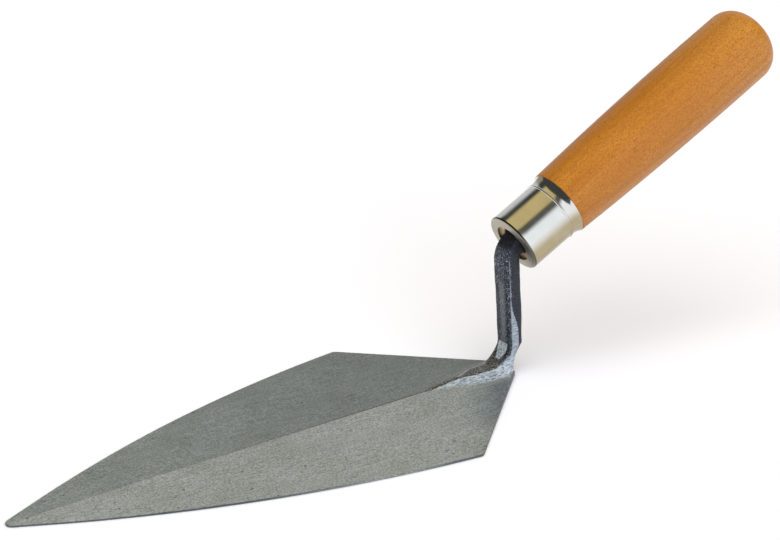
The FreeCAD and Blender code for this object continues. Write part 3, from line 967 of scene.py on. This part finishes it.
def plated_steel():
    """Polished nickel plate with fine turning lines, a satin front face and faint smears, a painted khaki
    reflection low down and a painted dark reflection round its front edge.
    """
    f = Finish("plated_steel")
    turned_place = along_axis(f)
    along, _, height = f.axes(turned_place)
    front = f.span(along, 0.0005, 0.0002)
    lines = f.grain(turned_place, (2600, 30, 30), 3.0, 0.6)
    smear = f.noise(turned_place, 90, 3.0, 0.6)
    # painted khaki reflection, stronger lower down the ferrule
    khaki_reflection = f.span(height, 0.0042, -0.0012)
    # painted dark reflection in a ring round the rounding of the front edge
    line = f.math("MULTIPLY", f.span(along, 0.00018, 0.00035), f.span(along, 0.0011, 0.0008))
    colour = f.blend(khaki_reflection, PLATE, PLATE_KHAKI_REFLECTION)
    colour = f.blend(f.span(smear, 0.35, 0.7, 0.0, 0.25), colour, PLATE_SMEAR)
    colour = f.blend(front, colour, PLATE_FRONT)
    colour = f.blend(f.math("MULTIPLY", line, 0.85), colour, PIT_AND_DARK_REFLECTION)
    roughness = f.math("ADD", f.span(smear, 0.3, 0.7, 0.10, 0.18), f.math("MULTIPLY", front, 0.25))
    normal = f.bump(f.math("ADD", lines, f.math("MULTIPLY", smear, 0.8)), 0.006 * MM)
    return f.use(colour, 1.0, roughness, normal)


def beech():
    """Lacquered beech: amber, with streaks along the grain and short dark flecks, and its end grain inside
    the ferrule painted light against the shade there.
    """
    f = Finish("beech")
    turned_place = along_axis(f)
    broad = f.grain(turned_place, (7, 70, 70), 3.0, 0.55)
    streak = f.grain(turned_place, (22, 420, 420), 4.0, 0.6)
    fibre = f.grain(turned_place, (130, 2200, 2200), 3.0, 0.6)
    fleck = f.grain(turned_place, (420, 2400, 2400), 1.0, 0.4)
    stipple = f.noise(turned_place, 1700, 2.0, 0.6)
    colour = f.blend(f.span(broad, 0.3, 0.7), WOOD_LIGHT, WOOD_MIDDLE)
    along = f.axes(turned_place)[0]
    colour = f.blend(f.span(along, 0.08, 0.15, 0.0, 0.5), colour, WOOD_PALE)
    colour = f.blend(f.span(streak, 0.42, 0.72, 0.0, 0.5), colour, WOOD_STREAK)
    colour = f.blend(f.span(fibre, 0.4, 0.75, 0.0, 0.3), colour, WOOD_STREAK)
    colour = f.blend(f.span(stipple, 0.42, 0.60, 0.0, 0.75), colour, WOOD_STREAK)
    colour = f.blend(f.span(fleck, 0.68, 0.76, 0.0, 0.7), colour, WOOD_FLECK)
    # end grain inside the ferrule, painted light against the shade there
    colour = f.blend(f.span(along, 0.003, 0.0018), colour, WOOD_END_LIT)
    normal = f.bump(f.math("ADD", fibre, f.math("MULTIPLY", stipple, 0.7)), 0.02 * MM)
    f.shader.inputs["Coat Weight"].default_value = 0.25
    f.shader.inputs["Specular IOR Level"].default_value = 0.35
    f.shader.inputs["Coat Roughness"].default_value = 0.3
    return f.use(colour, 0.0, f.span(streak, 0.3, 0.7, 0.42, 0.54), normal)


forging.data.materials.append(forged_steel())
ferrule.data.materials.append(plated_steel())
handle.data.materials.append(beech())


# ---------------------------------------------------------------- floor and light
FLOOR_WHITE = (0.92, 0.925, 1.0)
FRONT_PANEL = (1.0, 1.05, 1.08)
GAP_DARK = (0.10, 0.10, 0.08)
ROOF_KHAKI = (0.60, 0.48, 0.22)
BACK_DARK = (0.05, 0.055, 0.05)
BACK_KHAKI = (0.32, 0.29, 0.21)
BLADE_PANEL = (0.66, 0.67, 0.66)
BLADE_PANEL_WAY = Vector((0.55, 0.74, 0.38)).normalized()


def studio_floor():
    """A wide, thin slab whose top lies just below the blade."""
    wide, top, bottom = 20.0, -0.2 * MM, -20 * MM
    square = ((-wide, -wide), (wide, -wide), (wide, wide), (-wide, wide))
    corners = [(x, y, z) for z in (bottom, top) for x, y in square]
    sides = [(k, (k + 1) % 4, (k + 1) % 4 + 4, k + 4) for k in range(4)]
    floor = make_object("studio_floor", corners, [(3, 2, 1, 0), (4, 5, 6, 7), *sides])
    floor.data.shade_flat()
    f = Finish("floor_white")
    tone = f.noise(f.place, 3, 2.0, 0.5)
    colour = f.blend(f.span(tone, 0.3, 0.7), FLOOR_WHITE, tuple(0.985 * v for v in FLOOR_WHITE))
    floor.data.materials.append(f.use(colour, 0.0, 0.9, f.bump(tone, 0.01 * MM)))


def studio_world():
    """A dim room whose panels lie in bands over the trowel, from in front of it up and over to behind it."""
    world = bpy.data.worlds.new("studio")
    bpy.context.scene.world = world
    world.use_nodes = True
    f = Nodes(world.node_tree)
    way = f.node("ShaderNodeTexCoord").outputs["Generated"]
    left_right, front_back, up = f.axes(way)
    angle = f.math("ARCTAN2", up, f.math("MULTIPLY", front_back, -1))
    bands = (
        (0, FRONT_PANEL),
        (34, FRONT_PANEL),
        (46, GAP_DARK),
        (60, GAP_DARK),
        (68, ROOF_KHAKI),
        (115, ROOF_KHAKI),
        (126, BACK_DARK),
        (147, BACK_DARK),
        (157, BACK_KHAKI),
        (180, BACK_KHAKI),
    )
    room = f.bands(f.math("DIVIDE", angle, math.pi), [(degrees / 180, colour) for degrees, colour in bands])
    # a soft panel low behind, on the right, that the blade's satin top reflects
    toward = f.node("ShaderNodeVectorMath", operation="DOT_PRODUCT")
    f.put(toward.inputs[0], way)
    f.put(toward.inputs[1], BLADE_PANEL_WAY)
    room = f.blend(f.span(toward.outputs["Value"], 0.80, 0.93), room, BLADE_PANEL)
    # a dark screen on the left that only the ferrule's flare and the neck face
    room = f.blend(f.span(left_right, -0.31, -0.38), room, BACK_DARK)
    f.put(f.tree.nodes["Background"].inputs["Color"], room)


def studio_sun():
    """The main light: very soft, from above and in front, and not seen in reflections."""
    sun = bpy.data.objects.new("studio_sun", bpy.data.lights.new("studio_sun", "SUN"))
    sun.data.energy = 3.0
    sun.data.color = (0.97, 0.985, 1.0)
    sun.data.angle = math.radians(85)
    sun.rotation_euler = (math.radians(28), math.radians(-18), 0)
    sun.visible_glossy = False
    bpy.context.scene.collection.objects.link(sun)


studio_floor()
studio_world()
studio_sun()
bpy.context.scene.view_settings.view_transform = "Standard"

# ---------------------------------------------------------------- camera, fitted to the picture's outline
CAMERA_AT = Vector((-390.26, -572.21, 358.41)) * MM
right = Vector((0.8309, -0.5564, 0.0))
upward = Vector((0.2215, 0.3308, 0.9173))
backward = Vector((-0.5104, -0.7622, 0.3981))
camera = bpy.data.objects.new("camera", bpy.data.cameras.new("camera"))
camera.matrix_world = Matrix.Translation(CAMERA_AT) @ Matrix((right, upward, backward)).transposed().to_4x4()
camera.data.lens = 89.58
camera.data.sensor_width = 36
camera.data.clip_start = 0.01
camera.data.clip_end = 200
bpy.context.scene.collection.objects.link(camera)
bpy.context.scene.camera = camera
